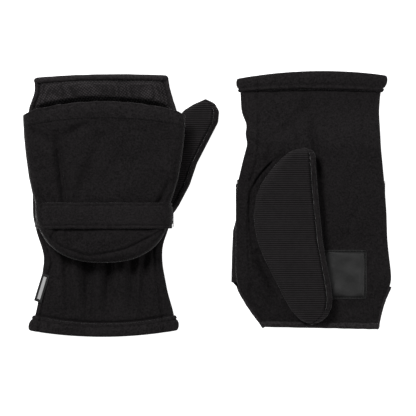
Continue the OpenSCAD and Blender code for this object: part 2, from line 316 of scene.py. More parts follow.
def cap_outline(side, y):
    """The cap's edges at y: a superellipse at the tip, then straight flanks that widen to the mouth."""
    tip = np.clip((CAP_ROUND_Y - y) / (CAP_ROUND_Y - CAP_TIP_Y), 0, 1)
    curve = CAP_ROUND_HALF * (1 - tip**CAP_ROUND_POWER) ** (1 / CAP_ROUND_POWER)
    little, thumb = [np.interp(y, CAP_FLANK_Y, flank) for flank in CAP_FLANKS[side]]
    return -np.where(y < CAP_ROUND_Y, curve, little), np.where(y < CAP_ROUND_Y, curve, thumb)


def cap_grid(side, rows, s, mouth, inset=0.0):
    """Places (x, y) over the cap: rows from the tip, where they follow the superellipse, to the mouth
    line."""
    turn = 0.36
    t = np.linspace(0, 1, rows)[:, None]
    angle = np.clip(t / turn, 0, 1) * np.pi / 2
    tip_y = CAP_ROUND_Y - (CAP_ROUND_Y - CAP_TIP_Y - inset) * np.cos(angle) ** (2 / CAP_ROUND_POWER)
    flank = np.clip((t - turn) / (1 - turn), 0, 1)
    y = np.where(t <= turn, tip_y + 0 * s, CAP_ROUND_Y + flank * (mouth - CAP_ROUND_Y))
    half_tip = (CAP_ROUND_HALF - inset) * np.sin(angle) ** (2 / CAP_ROUND_POWER)
    little, thumb = cap_outline(side, y)
    low = np.where(t <= turn, -half_tip, little + inset)
    high = np.where(t <= turn, half_tip, thumb - inset)
    return across_from(low, high, s), y


def cap_rim(side, x, y):
    """Distance in mm from the cap's outline: one minus the superellipse's own radius, times the half
    width."""
    little, thumb = cap_outline(side, np.maximum(y, CAP_ROUND_Y))
    half = (thumb - little) / 2
    across = np.abs(x - (thumb + little) / 2) / half
    tip = np.clip((CAP_ROUND_Y - y) / (CAP_ROUND_Y - CAP_TIP_Y), 0, 1)
    radius = (across**CAP_ROUND_POWER + tip**CAP_ROUND_POWER) ** (1 / CAP_ROUND_POWER)
    return (1 - np.where(y < CAP_ROUND_Y, radius, across)) * CAP_ROUND_HALF


# Seam round the fingertips of the cap, as (x, y).
TIP_SEAM = [(-46, 84), (-38.2, 74.9), (-30.4, 69), (-22.6, 66.5), (-12.9, 63), (-5, 63.4), (16.4, 67.5),
            (39.8, 78.8), (47.6, 84.6), (52, 92)]
# How much of the unevenness and the folds each cap has: the right one lies flat under the hand.
CAP_CREASED = {"left": 1.0, "right": 0.15}
# Folds of the cap's palm side: start, end, half width and depth.
CAP_FOLDS = [
    ((-36.5, 160), (-28, 92), 2.8, 5.6), ((-43, 150), (-39, 108), 5.0, -1.3),
    ((-24, 152), (-17, 108), 6.5, -1.5), ((53, 122), (39.5, 97), 2.0, 3.4),
    ((-50, 115), (-44.5, 99), 1.7, 2.4), ((1, 158), (-21, 102), 5.0, 3.6),
    ((22, 162), (6, 108), 6.5, 2.2), ((-56, 160), (-36, 147), 4.0, 3.0),
    ((-35, 86), (-41, 72), 2.0, 2.2), ((12, 168), (36, 157), 3.5, 1.0),
    ((44, 166), (50, 136), 4.5, 1.0), ((-10, 166), (-30, 154), 3.4, 2.2),
    ((52, 96), (30, 82), 3.0, 1.2), ((36, 152), (30, 120), 6.0, -1.2),
    ((-8, 84), (-24, 70), 4.0, 0.9),
]


def cap_top_z(side, x, y, inset=0.0):
    """Height of the cap's palm side: a pillow with round rims, pressed down by the strap, with its
    folds, the seam round the fingertips and soft unevenness."""
    rise = (CAP_RISE - inset) * roundness(cap_rim(side, x, y), 6.5)
    pressed = -1.7 * np.exp(-(((y - STRAP_Y) / 12.5) ** 4))
    tip_sag = -1.6 * np.clip((84 - y) / 26, 0, 1) ** 1.5
    room = roundness(cap_rim(side, x, y), 14.0)
    detail = 0.7 * soft_noise(x, y, 34, 21) + 0.3 * soft_noise(x, y, 12, 22)
    for start, end, width, depth in CAP_FOLDS:
        detail = detail + fold_line(x, y, start, end, width, depth)
    detail = CAP_CREASED[side] * detail + pressed + tip_sag
    seam_y = smooth_line(TIP_SEAM, x, 3.0)
    detail = detail + seam_groove((y - seam_y) * 0.9, 1.2, 1.9) * (y < 96)
    return CAP_MIDDLE + rise + room * detail


def cap_bottom_z(side, x, y, inset=0.0):
    """Height of the cap's back side, which lies on the back of the hand."""
    return CAP_MIDDLE - (CAP_DROP - inset) * roundness(cap_rim(side, x, y), 7.0)


def drawn_back(side, s):
    """Share by which the right cap's mouth is drawn back towards the thumb's side."""
    return np.clip(s, 0, 1) ** 4 if side == "right" else 0.0


def mouth_stitch_y(side, s):
    """Stitch line of the cap's hem: a shallow bow, highest in the middle."""
    return 168.5 - 6.2 * s**2 - 5.0 * drawn_back(side, s)


def mouth_edge_y(side, s):
    """Free edge of the cap's hem: the same bow, a hem's width further out."""
    return 182.0 - 8.6 * s**2 - 2.2 * s**14 - 8.5 * drawn_back(side, s)


def cuff_edge_y(side, s):
    """The cuff's free edge: lowest in the middle, drawn up at both sides."""
    return 4.6 * s**2 if side == "left" else 4.3 * s**2 + 1.2 * s


def cuff_stitch_y(side, s):
    """Stitch line above the cuff's hem."""
    return 10.0 + 6.2 * s**2 if side == "left" else 14.3 + 1.6 * s**2


# Thumb outlines as (y, x): the edge towards the hand and the edge away from it.
THUMB_NEAR = {
    "left": [(94, 50), (134, 50), (139, 56), (146, 58.5), (171, 58.5), (176, 62.5), (181, 70.5),
             (184.6, 77.5)],
    "right": [(60, 6), (61, 1.5), (64.7, -0.7), (92, -2.6), (131, -6.5), (155, -10.8), (167.5, -13),
              (176, -13.9), (182, -13.3), (188, -10.9), (192.7, -6.2), (195, -1), (195.4, 1.5)],
}
THUMB_FAR = {
    "left": [(94, 53.6), (101, 57.9), (117.8, 66.8), (134.5, 72.4), (152.9, 81.9), (166.5, 88.9),
             (174.9, 89.7),
             (181.8, 86.3), (184.6, 81)],
    "right": [(60, 7), (61, 14), (62.6, 18), (67.9, 24.5), (75.7, 32), (86.6, 39.8), (97.5, 44.4),
              (111.5, 46.1),
              (119.3, 45.6), (131.8, 43.2), (144.3, 38.3), (155.2, 32.8), (166.5, 27), (173.9, 23.4),
              (184.9, 17),
              (191.9, 10.5), (195, 4), (195.4, 2.5)],
}
THUMB_MIDDLE = 5.75
THUMB_HALF = 5.4
THUMB_WAY = {"left": 1.0, "right": -1.0}
THUMB_FINE = 1.2
THUMB_END_REACH = {"left": 5.0, "right": 3.0}
KNIT_THICK = 1.2
BINDING_LAP = 4.4


def thumb_edges(side, y):
    """The thumb's edge towards the hand and its edge away from it."""
    return smooth_line(THUMB_NEAR[side], y, THUMB_FINE), smooth_line(THUMB_FAR[side], y, THUMB_FINE)


def thumb_grid(side, rows, s, inset=0.0):
    """Places (x, y) over the thumb: rows from its lower to its upper end, closer together at both ends,
    and s across from the near to the far edge."""
    low, high = THUMB_NEAR[side][0][0] + inset, THUMB_NEAR[side][-1][0] - inset
    even = np.linspace(-1, 1, rows)
    eased = np.sign(even) * (1 - (1 - np.abs(even)) ** 1.6)
    y = ((low + high) / 2 + (high - low) / 2 * (0.35 * eased + 0.65 * even))[:, None] + 0 * s
    near, far = thumb_edges(side, y)
    closing = roundness(np.minimum(y - low, high - y), THUMB_END_REACH[side])
    near, far = near + inset * closing, far - inset * closing
    half = (far - near) / 2 * closing
    return (near + far) / 2 + half * s, y


def thumb_rim(side, x, y):
    """Distance in mm from the thumb's outline, with no near edge where the thumb runs on into the hand."""
    near, far = thumb_edges(side, y)
    low, high = THUMB_NEAR[side][0][0], THUMB_NEAR[side][-1][0]
    joined = 9.0 * np.clip((146 - y) / 14, 0, 1) if side == "left" else 0.0
    ends = np.minimum((y - low) * 1.2, (high - y) * 1.2)
    return np.clip(np.minimum(np.minimum(x - near + joined, far - x), ends), 0, None)


def thumb_z(side, x, y, face, inset=0.0):
    """Height of the thumb's rib face (face 1) or fleece face (face -1): a pillow with round rims."""
    swell = roundness(thumb_rim(side, x, y), 7.5)
    height = THUMB_MIDDLE + face * (THUMB_HALF - inset) * swell
    height = height + face * 0.35 * swell * soft_noise(x, y, 24, 31 + (face > 0))
    return THUMB_WAY[side] * height


# ---- meshes -----------------------------------------------------------------------------------


def outward_total(points, faces, middle):
    """How far the faces look away from the middle, added up over them: below 0 when they look inward."""
    corners = points[faces]
    normals = np.cross(corners[:, 2] - corners[:, 0], corners[:, 3] - corners[:, 1])
    return (normals * (corners.mean(1) - middle)).sum()


def link_mesh(name, mesh):
    """Object named name for a smooth mesh, at the origin and in the scene."""
    mesh.polygons.foreach_set("use_smooth", np.ones(len(mesh.polygons), bool))
    mesh.update()
    piece = bpy.data.objects.new(name, mesh)
    bpy.context.scene.collection.objects.link(piece)
    return piece


def new_piece(name, points, faces, uv=None, inward=False):
    """Object named name from points in the row frame and faces. Doubles are merged, which closes poles and
    seams, and the faces are turned so that the volume between them and the middle is positive, or negative
    for a lining that faces inward."""
    points = np.asarray(points, float)
    faces = np.asarray(faces, int)
    if (outward_total(points, faces, points.mean(0)) < 0) != inward:
        faces = faces[:, ::-1]
    mesh = bpy.data.meshes.new(name)
    mesh.from_pydata(points.tolist(), [], faces.tolist())
    if uv is not None:
        layer = mesh.uv_layers.new(name="cloth")
        layer.data.foreach_set("uv", np.asarray(uv, float)[faces].astype(np.float32).ravel())
    merge_doubles(mesh)
    return link_mesh(name, mesh)


def merge_doubles(mesh):
    """Points closer than two thousandths of a millimetre become one, and faces without area go."""
    work = bmesh.new()
    work.from_mesh(mesh)
    bmesh.ops.remove_doubles(work, verts=work.verts, dist=2e-6)
    bmesh.ops.dissolve_degenerate(work, dist=1e-7, edges=work.edges)
    work.to_mesh(mesh)
    work.free()


def grid_faces(rows, columns, ring=False, loop=False):
    """Four-sided faces over a grid of points; ring joins the last column to the first, loop the last
    row."""
    index = np.arange(rows * columns).reshape(rows, columns)
    if ring:
        index = np.concatenate([index, index[:, :1]], 1)
    if loop:
        index = np.concatenate([index, index[:1]], 0)
    return np.stack([index[:-1, :-1], index[:-1, 1:], index[1:, 1:], index[1:, :-1]], -1).reshape(-1, 4)


def cloth_grid(name, side, grid, ring=False, loop=False, inward=False):
    """Surface over a grid of points in the mitten's frame, closed by ring and loop as grid_faces says."""
    rows, columns = grid.shape[:2]
    faces = grid_faces(rows, columns, ring, loop)
    v, u = np.meshgrid(np.linspace(0, 1, rows), np.linspace(0, 1, columns), indexing="ij")
    uv = np.stack([u, v], -1).reshape(-1, 2)
    return new_piece(name, row_frame(side, grid.reshape(-1, 3)), faces, uv, inward)


def cloth_surface(side, name, x, y, z, **joins):
    """Surface over grids of places across and along the mitten and of heights, named after its mitten."""
    return cloth_grid(side + "_" + name, side, np.stack([x, y, z], -1), **joins)


def thicken(piece, thickness):
    """Gives a cloth surface its thickness, away from the side that shows."""
    wall = piece.modifiers.new("cloth_thickness", "SOLIDIFY")
    wall.thickness = thickness * MM
    wall.offset = -1.0
    wall.use_even_offset = False
    return piece


def path_frames(path, up):
    """Unit vectors along a path, to its side and above it, with above as near to up as they can be."""
    along = np.gradient(path, axis=0)
    along = along / np.linalg.norm(along, axis=1, keepdims=True)
    beside = np.cross(along, up)
    beside = beside / np.linalg.norm(beside, axis=1, keepdims=True)
    return along, beside, np.cross(beside, along)


def swept(name, side, path, section, up, scale=None):
    """A closed section of (beside, above) offsets carried along a path, scaled at each point, with ends
    drawn together to a point."""
    path = np.asarray(path, float)
    _, beside, above = path_frames(path, np.asarray(up, float))
    size = np.ones(len(path)) if scale is None else np.asarray(scale, float)
    section = np.asarray(section, float)
    offset = beside[:, None] * section[None, :, :1] + above[:, None] * section[None, :, 1:]
    grid = path[:, None] + offset * size[:, None, None]
    first, last = [np.repeat(path[k, None, None], len(section), 1) for k in (0, -1)]
    grid = np.concatenate([first, grid, last], 0)
    return cloth_grid(name, side, grid, ring=True)


def round_section(width, height, power=2.0, count=24):
    """Superellipse of that half width and half height, as (beside, above) offsets."""
    angle = np.linspace(0, 2 * np.pi, count, endpoint=False)
    x, y = [np.sign(part) * np.abs(part) ** (2 / power) for part in (np.cos(angle), np.sin(angle))]
    return np.stack([width * x, height * y], 1)


def stitch_row(name, side, path, up, pitch=2.6, length=1.9, radius=0.24, tilt=0.0):
    """A row of thread stitches, one every pitch along the path: each a six-sided bead, thinner at both
    ends and bowed up in the middle."""
    path = np.asarray(path, float)
    run = np.concatenate([[0], np.cumsum(np.linalg.norm(np.diff(path, axis=0), axis=1))])
    at = np.arange(pitch / 2, run[-1], pitch)
    centre = np.stack([np.interp(at, run, path[:, k]) for k in range(3)], 1)
    along, beside, above = path_frames(path, np.asarray(up, float))
    along, beside, above = [np.stack([np.interp(at, run, v[:, k]) for k in range(3)], 1)
                            for v in (along, beside, above)]
    along = along + tilt * beside
    stations = np.array([-0.5, -0.32, 0.0, 0.32, 0.5])
    girth = np.array([0.15, 0.85, 1.0, 0.85, 0.15]) * radius
    lift = np.array([-0.9, -0.1, 0.25, -0.1, -0.9]) * radius
    angle = np.linspace(0, 2 * np.pi, 6, endpoint=False)
    bead = np.stack([np.repeat(stations * length, 6),
                     (girth[:, None] * np.cos(angle)).ravel(),
                     (girth[:, None] * np.sin(angle) + lift[:, None]).ravel()], 1)
    points = (centre[:, None] + along[:, None] * bead[:, :1] + beside[:, None] * bead[:, 1:2]
              + above[:, None] * bead[:, 2:])
    side_faces = grid_faces(5, 6, ring=True)
    end_faces = np.array([[0, 1, 2, 3], [0, 3, 4, 5], [24, 27, 26, 25], [24, 29, 28, 27]])
    bead_faces = np.concatenate([side_faces[:, ::-1], end_faces[:, ::-1]])
    faces = (bead_faces[None] + 30 * np.arange(len(at))[:, None, None]).reshape(-1, 4)
    world = row_frame(side, points.reshape(-1, 3))
    if outward_total(world, faces[: len(bead_faces)], world[:30].mean(0)) < 0:
        faces = faces[:, ::-1]
    mesh = bpy.data.meshes.new(name)
    mesh.from_pydata(world.tolist(), [], faces.tolist())
    return link_mesh(name, mesh)


# ---- materials --------------------------------------------------------------------------------


def place_node(tree, kind, settings=(), inputs=()):
    """A node of that kind with its settings, and its inputs joined to sockets or set to values."""
    made = tree.nodes.new(kind)
    for key, value in dict(settings).items():
        setattr(made, key, value)
    for key, value in dict(inputs).items():
        if isinstance(value, bpy.types.NodeSocket):
            tree.links.new(value, made.inputs[key])
        else:
            made.inputs[key].default_value = value
    return made


def figure(tree, operation, first, second=0.0, third=0.0):
    """A Math node's result."""
    return place_node(tree, "ShaderNodeMath", {"operation": operation},
                      {0: first, 1: second, 2: third}).outputs[0]


def noise(tree, position, scale, detail, **others):
    """A noise texture's value."""
    inputs = {"Vector": position, "Scale": scale, "Detail": detail, **others}
    return place_node(tree, "ShaderNodeTexNoise", {}, inputs).outputs[0]


def remap(tree, value, source=(0.0, 1.0), target=(0.0, 1.0)):
    """The value moved from the source range to the target range, and kept inside it."""
    return place_node(tree, "ShaderNodeMapRange", {"clamp": True}, {
        "Value": value, "From Min": source[0], "From Max": source[1],
        "To Min": target[0], "To Max": target[1]}).outputs[0]


def mix_colours(tree, share, first, second, blend="MIX"):
    """A colour between first and second, or second laid over first in another way of blending."""
    return place_node(tree, "ShaderNodeMix", {"data_type": "RGBA", "blend_type": blend}, {
        0: share, 6: first, 7: second}).outputs[2]


def turned(tree, position, angles):
    """Position turned about the three axes, in radians."""
    return place_node(tree, "ShaderNodeMapping", {}, {0: position, "Rotation": angles}).outputs[0]


def new_group(name, inputs, outputs):
    """A shader node group with its named sockets, and its two end nodes."""
    tree = bpy.data.node_groups.new(name, "ShaderNodeTree")
    for key, kind, value in inputs:
        socket = tree.interface.new_socket(key, in_out="INPUT", socket_type=kind)
        if value is not None:
            socket.default_value = value
    for key, kind in outputs:
        tree.interface.new_socket(key, in_out="OUTPUT", socket_type=kind)
    return tree, tree.nodes.new("NodeGroupInput"), tree.nodes.new("NodeGroupOutput")


COLOUR, NUMBER, DIRECTION = "NodeSocketColor", "NodeSocketFloat", "NodeSocketVector"


def pile_group():
    """Brushed pile: fine fuzz, clumps of fibre and broad patches, mixed into one shade and one height."""
    tree, given, out = new_group(
        "brushed_pile",
        [("Position", DIRECTION, None), ("Dark", COLOUR, (0, 0, 0, 1)), ("Light", COLOUR, (1, 1, 1, 1)),
         ("Fuzz size", NUMBER, 0.7), ("Clump size", NUMBER, 2.6), ("Clumps", NUMBER, 0.4)],
        [("Colour", COLOUR), ("Roughness", NUMBER), ("Height", NUMBER)])
    fuzz_scale = figure(tree, "DIVIDE", 1.0, given.outputs["Fuzz size"])
    clump_scale = figure(tree, "DIVIDE", 1.0, given.outputs["Clump size"])
    position = given.outputs["Position"]
    fuzz = noise(tree, position, fuzz_scale, 3.0, Roughness=0.65)
    clump = noise(tree, position, clump_scale, 2.0, Distortion=0.8)
    broad = noise(tree, position, 0.035, 1.0)
    height = place_node(tree, "ShaderNodeMix", {"data_type": "FLOAT"}, {
        0: given.outputs["Clumps"], 2: fuzz, 3: clump}).outputs[0]
    shade = figure(tree, "MULTIPLY_ADD", broad, 0.1, figure(tree, "MULTIPLY", height, 0.94))
    share = remap(tree, shade, (0.4, 0.64))
    colour = mix_colours(tree, share, given.outputs["Dark"], given.outputs["Light"])
    rough = remap(tree, shade, (0.3, 0.8), (1.0, 0.86))
    tree.links.new(colour, out.inputs["Colour"])
    tree.links.new(rough, out.inputs["Roughness"])
    tree.links.new(height, out.inputs["Height"])
    return tree


def wave_of(tree, distance, pitch):
    """Cosine of the distance with that pitch, moved to between 0 and 1."""
    turns = figure(tree, "DIVIDE", distance, pitch)
    wave = figure(tree, "COSINE", figure(tree, "MULTIPLY", turns, 2 * np.pi))
    return figure(tree, "MULTIPLY_ADD", wave, 0.5, 0.5)


def ridge_group():
    """Rows along one direction: a cosine of the distance across them, broken up by a cosine along them,
    coloured darker in the valleys as painted shade.
    """
    tree, given, out = new_group(
        "knit_rows",
        [("Position", DIRECTION, None), ("Row pitch", NUMBER, 1.6), ("Stitch pitch", NUMBER, 1.1),
         ("Dark", COLOUR, (0, 0, 0, 1)), ("Light", COLOUR, (1, 1, 1, 1))],
        [("Colour", COLOUR), ("Height", NUMBER)])
    parts = place_node(tree, "ShaderNodeSeparateXYZ", {}, {0: given.outputs["Position"]})
    row, stitch = [wave_of(tree, parts.outputs[axis], given.outputs[pitch])
                   for axis, pitch in ((1, "Row pitch"), (0, "Stitch pitch"))]
    height = figure(tree, "MULTIPLY", row, figure(tree, "MULTIPLY_ADD", stitch, 0.35, 0.65))
    # The colour follows the height: painted shade darkening the valleys between the rows.
    colour = mix_colours(tree, height, given.outputs["Dark"], given.outputs["Light"])
    tree.links.new(colour, out.inputs["Colour"])
    tree.links.new(height, out.inputs["Height"])
    return tree


PILE = pile_group()
ROWS = ridge_group()


# Warmth of the dyed cloth, for grey() below.
WARMTH = 0.05


def grey(value, warm=0.0):
    """A near-neutral linear colour with a little warmth."""
    return (value * (1 + 1.6 * warm), value * (1 - 0.5 * warm), value * (1 + 0.4 * warm), 1.0)


def new_finish(name, sheen=0.0, sheen_rough=0.5, roughness=0.95, specular=0.25):
    """A material whose Principled shader has its constant values set, and its position in mm."""
    made = bpy.data.materials.new(name)
    made.use_nodes = True
    tree = made.node_tree
    shader = tree.nodes["Principled BSDF"]
    shader.inputs["Roughness"].default_value = roughness
    shader.inputs["Specular IOR Level"].default_value = specular
    shader.inputs["Sheen Weight"].default_value = sheen
    shader.inputs["Sheen Roughness"].default_value = sheen_rough
    where = place_node(tree, "ShaderNodeTexCoord").outputs["Object"]
    in_mm = (1 / MM, 1 / MM, 1 / MM)
    position = place_node(tree, "ShaderNodeMapping", {}, {0: where, "Scale": in_mm}).outputs[0]
    return made, tree, shader, position


def raise_surface(tree, shader, height, distance, strength=1.0):
    """Joins a height to the shader's normal through a Bump node of that distance in mm."""
    bump = place_node(tree, "ShaderNodeBump", {}, {
        "Height": height, "Distance": distance * MM, "Strength": strength})
    tree.links.new(bump.outputs[0], shader.inputs["Normal"])


def pile(tree, position, dark, light, fuzz, clump, clumps):
    """A brushed pile from dark to light, with its fuzz and its clumps of those sizes in mm."""
    return place_node(tree, "ShaderNodeGroup", {"node_tree": PILE}, {
        "Position": position, "Dark": dark, "Light": light, "Fuzz size": fuzz, "Clump size": clump,
        "Clumps": clumps}).outputs


def knit_rows(tree, position, row_pitch, stitch_pitch, dark, light):
    """Knitted rows from dark to light, the dark in the valleys being painted shade, with those pitches in
    mm.
    """
    return place_node(tree, "ShaderNodeGroup", {"node_tree": ROWS}, {
        "Position": position, "Row pitch": row_pitch, "Stitch pitch": stitch_pitch,
        "Dark": dark, "Light": light}).outputs


def colour_shader(tree, shader, colour, rough=None):
    """Joins a colour, and a roughness where there is one, to the shader."""
    tree.links.new(colour, shader.inputs["Base Color"])
    if rough is not None:
        tree.links.new(rough, shader.inputs["Roughness"])


def fleece_finish(name, dark, light, clumps=0.22, depth=0.8, sheen=0.3):
    """Anti-pilling fleece: brushed pile with a low sheen at its edges."""
    made, tree, shader, position = new_finish(name, sheen=sheen, sheen_rough=0.22, specular=0.04)
    cloth = pile(tree, position, grey(dark, WARMTH), grey(light, WARMTH), 1.3, 2.8, clumps)
    colour_shader(tree, shader, cloth["Colour"], cloth["Roughness"])
    raise_surface(tree, shader, cloth["Height"], depth)
    return made


def rib_finish():
    """Ribbed knit of the thumb's face: rows that match the ridges in the mesh, coloured darker in their
    valleys as painted shade, and loops along each row.
    """
    made, tree, shader, position = new_finish("rib_knit", sheen=0.15, sheen_rough=0.22, specular=0.08)
    # Rows darker in their valleys and lighter on their ridges: painted shade and highlight.
    rows = knit_rows(tree, position, RIB_PITCH, 0.9, grey(0.0095, WARMTH), grey(0.0285, WARMTH))
    nap = pile(tree, position, grey(0.75), grey(1.2), 0.5, 3.0, 0.3)
    colour = mix_colours(tree, 1.0, rows["Colour"], nap["Colour"], "MULTIPLY")
    colour_shader(tree, shader, colour, nap["Roughness"])
    height = figure(tree, "MULTIPLY_ADD", nap["Height"], 0.3, rows["Height"])
    raise_surface(tree, shader, height, 0.18)
    return made


def lining_finish():
    """Pebbled knit lining: rounded loops on a slanting lattice, with painted shade dark between them."""
    made, tree, shader, position = new_finish("lining_knit", sheen=0.1, sheen_rough=0.3, specular=0.1)
    slanted = turned(tree, position, (0.0, 0.0, 0.6))
    loops = place_node(tree, "ShaderNodeTexVoronoi", {"feature": "F1"}, {
        "Vector": slanted, "Scale": 0.58, "Randomness": 0.2}).outputs["Distance"]
    dome = remap(tree, loops, (0.1, 0.62), (1.0, 0.0))
    nap = pile(tree, position, grey(0.8), grey(1.15), 0.5, 5.0, 0.5)
    # Loops lighter on their domes and dark between them: painted shade in the recesses.
    lattice = mix_colours(tree, dome, grey(0.011, WARMTH), grey(0.051, WARMTH))
    colour_shader(tree, shader, mix_colours(tree, 1.0, lattice, nap["Colour"], "MULTIPLY"), nap["Roughness"])
    raise_surface(tree, shader, dome, 0.45)
    return made


def leather_finish():
    """Grip leather: a fine pebble grain, smoother and a little lighter on the tops than in the valleys, the
    lighter tops being painted highlight, over patches of random tone.
    """
    made, tree, shader, position = new_finish("grip_leather", roughness=0.45, specular=0.3)
    grain = place_node(tree, "ShaderNodeTexVoronoi", {"feature": "DISTANCE_TO_EDGE"}, {
        "Vector": position, "Scale": 1.1, "Randomness": 0.9}).outputs["Distance"]
    top = remap(tree, grain, (0.0, 0.25))
    patches = noise(tree, position, 0.12, 3.0)
    # Patches of random tone, plus painted highlight on the grain's tops.
    shade = figure(tree, "MULTIPLY_ADD", patches, 0.8, figure(tree, "MULTIPLY", top, 0.2))
    rough = remap(tree, shade, (0.0, 1.0), (0.5, 0.36))
    colour_shader(tree, shader, mix_colours(tree, shade, grey(0.008), grey(0.03)), rough)
    raise_surface(tree, shader, top, 0.12)
    return made


def thread_finish(name, tone):
    """Sewing thread: fine slanting plies."""
    made, tree, shader, position = new_finish(name, roughness=0.8, specular=0.1)
    slanted = turned(tree, position, (0.3, 0.5, 0.8))
    plies = place_node(tree, "ShaderNodeTexWave", {}, {
        "Vector": slanted, "Scale": 0.8, "Distortion": 0.6}).outputs[1]
    colour_shader(tree, shader, mix_colours(tree, plies, grey(tone * 0.7), grey(tone * 1.3)))
    raise_surface(tree, shader, plies, 0.05)
    return made


def elastic_finish():
    """Covered elastic: close lengthwise cords, darker between them as painted shade."""
    made, tree, shader, position = new_finish("elastic", roughness=0.8, sheen=0.1)
    rows = knit_rows(tree, position, 1.2, 0.8, grey(0.008), grey(0.03))
    colour_shader(tree, shader, rows["Colour"])
    raise_surface(tree, shader, rows["Height"], 0.2)
    return made


def label_finish():
    """Woven label: a pale plain bar on a dark satin ground, with the weave's rows across it, darker between
    them as painted shade.
    """
    made, tree, shader, position = new_finish("woven_label", roughness=0.55, specular=0.35)
    where = place_node(tree, "ShaderNodeUVMap", {"uv_map": "cloth"}).outputs[0]
    parts = place_node(tree, "ShaderNodeSeparateXYZ", {}, {0: where})
    within = []
    for axis, reach in ((0, 0.2), (1, 0.4)):
        off = figure(tree, "ABSOLUTE", figure(tree, "SUBTRACT", parts.outputs[axis], 0.5))
        within.append(figure(tree, "LESS_THAN", off, reach))
    bar = figure(tree, "MULTIPLY", within[0], within[1])
    rows = knit_rows(tree, position, 0.5, 0.5, grey(0.7), grey(1.0))
    ground = mix_colours(tree, bar, grey(0.014), grey(0.62))
    colour_shader(tree, shader, mix_colours(tree, 1.0, ground, rows["Colour"], "MULTIPLY"))
    raise_surface(tree, shader, rows["Height"], 0.08)
    return made


FINISH = {
    "fleece": fleece_finish("fleece", 0.0074, 0.0185),
    # The strap's fleece is the same cloth as the rest, made lighter: painted highlight of the raised strap.
    "strap_fleece_painted_highlight": fleece_finish("strap_fleece_painted_highlight", 0.009, 0.0213),
    # The hems' and the thumb binding's fleece is the same cloth, made lighter: painted highlight of the
    # raised hems and binding.
    "hem_fleece_painted_highlight": fleece_finish("hem_fleece_painted_highlight", 0.008, 0.0225),
    # The finger end's binding is the same fleece, made about twice as light: painted sheen of its fuzzy
    # edge.
    "edge_fleece_painted_sheen": fleece_finish("edge_fleece_painted_sheen", 0.012, 0.036),
    "rib_knit": rib_finish(),
    "lining_knit": lining_finish(),
    "grip_leather": leather_finish(),
    "elastic": elastic_finish(),
    "thread": thread_finish("thread", 0.006),
    "patch_thread": thread_finish("patch_thread", 0.017),
    "woven_label": label_finish(),
}


def dress(piece, finish, body, replaced=(), blend_to=None):
    """Gives a piece its finish and its body, or, when blend_to is given, bakes its place into its mesh, and
    hides the CAD nodes it stands for.
    """
    piece.data.materials.clear()
    piece.data.materials.append(FINISH[finish])
    if blend_to is None:
        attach(piece, body)
    else:
        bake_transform(piece)
    if replaced:
        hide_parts(*replaced)


# ---- the pieces of one mitten -----------------------------------------------------------------

CUFF_LINING_Y = 5.0
ELASTIC_Y = (66, 74)
ELASTIC_INSET = 1.9
BINDING_START_Y = 166
BINDING_RUN = 34
BINDING_SIDE_Z = 6.2
BINDING_SIDE_GIRTH = 0.62
BINDING_MIDDLE_Z = {"left": 6.6, "right": 1.2}


def hand_panel(side, name, z_of, s, y_low, y_high, rows, inset=0.0, lift=None):
    """One face of the hand's sleeve: rows from y_low to y_high, and columns at the shares s across it. An
    inset face is a lining, which looks inward."""
    y = y_low + np.linspace(0, 1, rows)[:, None] * (y_high - y_low)
    x = hand_x(side, y, s, inset)
    z = z_of(side, x, y, s + 0 * y, inset)
    if lift is not None:
        z = z + lift(side, x, y, s)
    return cloth_surface(side, name, x, y, z, inward=inset > 0)


def finger_end_y(side, s):
    """The finger end's edge, a little higher in the middle than at both corners."""
    if side == "left":
        return 202.4 - 1.8 * s**2 + 0.9 * s
    return 196.9 - 0.9 * s


PUFF_DENTS = [
    ((13, 206), (17, 172), 4.0, 3.4),
    ((-44, 204), (-26, 180), 6, 2.2),
    ((-8, 182), (-16, 204), 5, -1.0),
    ((38, 200), (34, 178), 5, -1.0),
]


def lining_puff(side, x, y, s):
    """The lining of the open finger end swells into a soft roll behind the binding, with folds across
    it."""
    rise = np.clip((y - mouth_edge_y(side, x / 62) - 0.6) / 4.4, 0, 1)
    roll = 9.5 * soft_step(rise) * np.exp(-((np.maximum(y - 192.0, 0) / 7.4) ** 4))
    dents = sum(fold_line(x, y, *fold) for fold in PUFF_DENTS)
    return roll * edge_room(s, 8) + dents * np.clip((y - 178) / 8, 0, 1)


def make_sleeve(side):
    """The sleeve's four faces: palm and back in fleece, and their linings."""
    s = spread(120)[None, :]
    low = cuff_stitch_y(side, s) - 2
    palm = hand_panel(side, "palm_fleece", palm_z, s, low, finger_end_y(side, s), 230)
    back = hand_panel(side, "back_fleece", back_z, s, low, HINGE_Y + 0 * s, 200)
    s = spread(72)[None, :]
    low = CUFF_LINING_Y + 0 * s
    inner_palm = hand_panel(side, "palm_lining_knit", palm_z, s, low, finger_end_y(side, s) - 0.6, 150,
                            LINING_INSET, lining_puff)
    inner_back = hand_panel(side, "back_lining_knit", back_z, s, low, HINGE_Y - 1 + 0 * s, 120, LINING_INSET)
    dress(thicken(palm, FLEECE_THICK), "fleece", "hands", [side + "_palm_panel", side + "_side_gusset"])
    dress(thicken(back, FLEECE_THICK), "fleece", "hands", [side + "_back_panel"])
    dress(thicken(inner_palm, LINING_THICK), "lining_knit", "hands", [side + "_palm_lining"])
    dress(thicken(inner_back, LINING_THICK), "lining_knit", "hands", [side + "_back_lining"])


def sleeve_z(side, x, y, s, up, inset=0.0):
    """Height of the sleeve all round: the back's where up is true, and the palm's elsewhere."""
    s = s + 0 * y
    return np.where(up, back_z(side, x, y, s, inset), palm_z(side, x, y, s, inset))


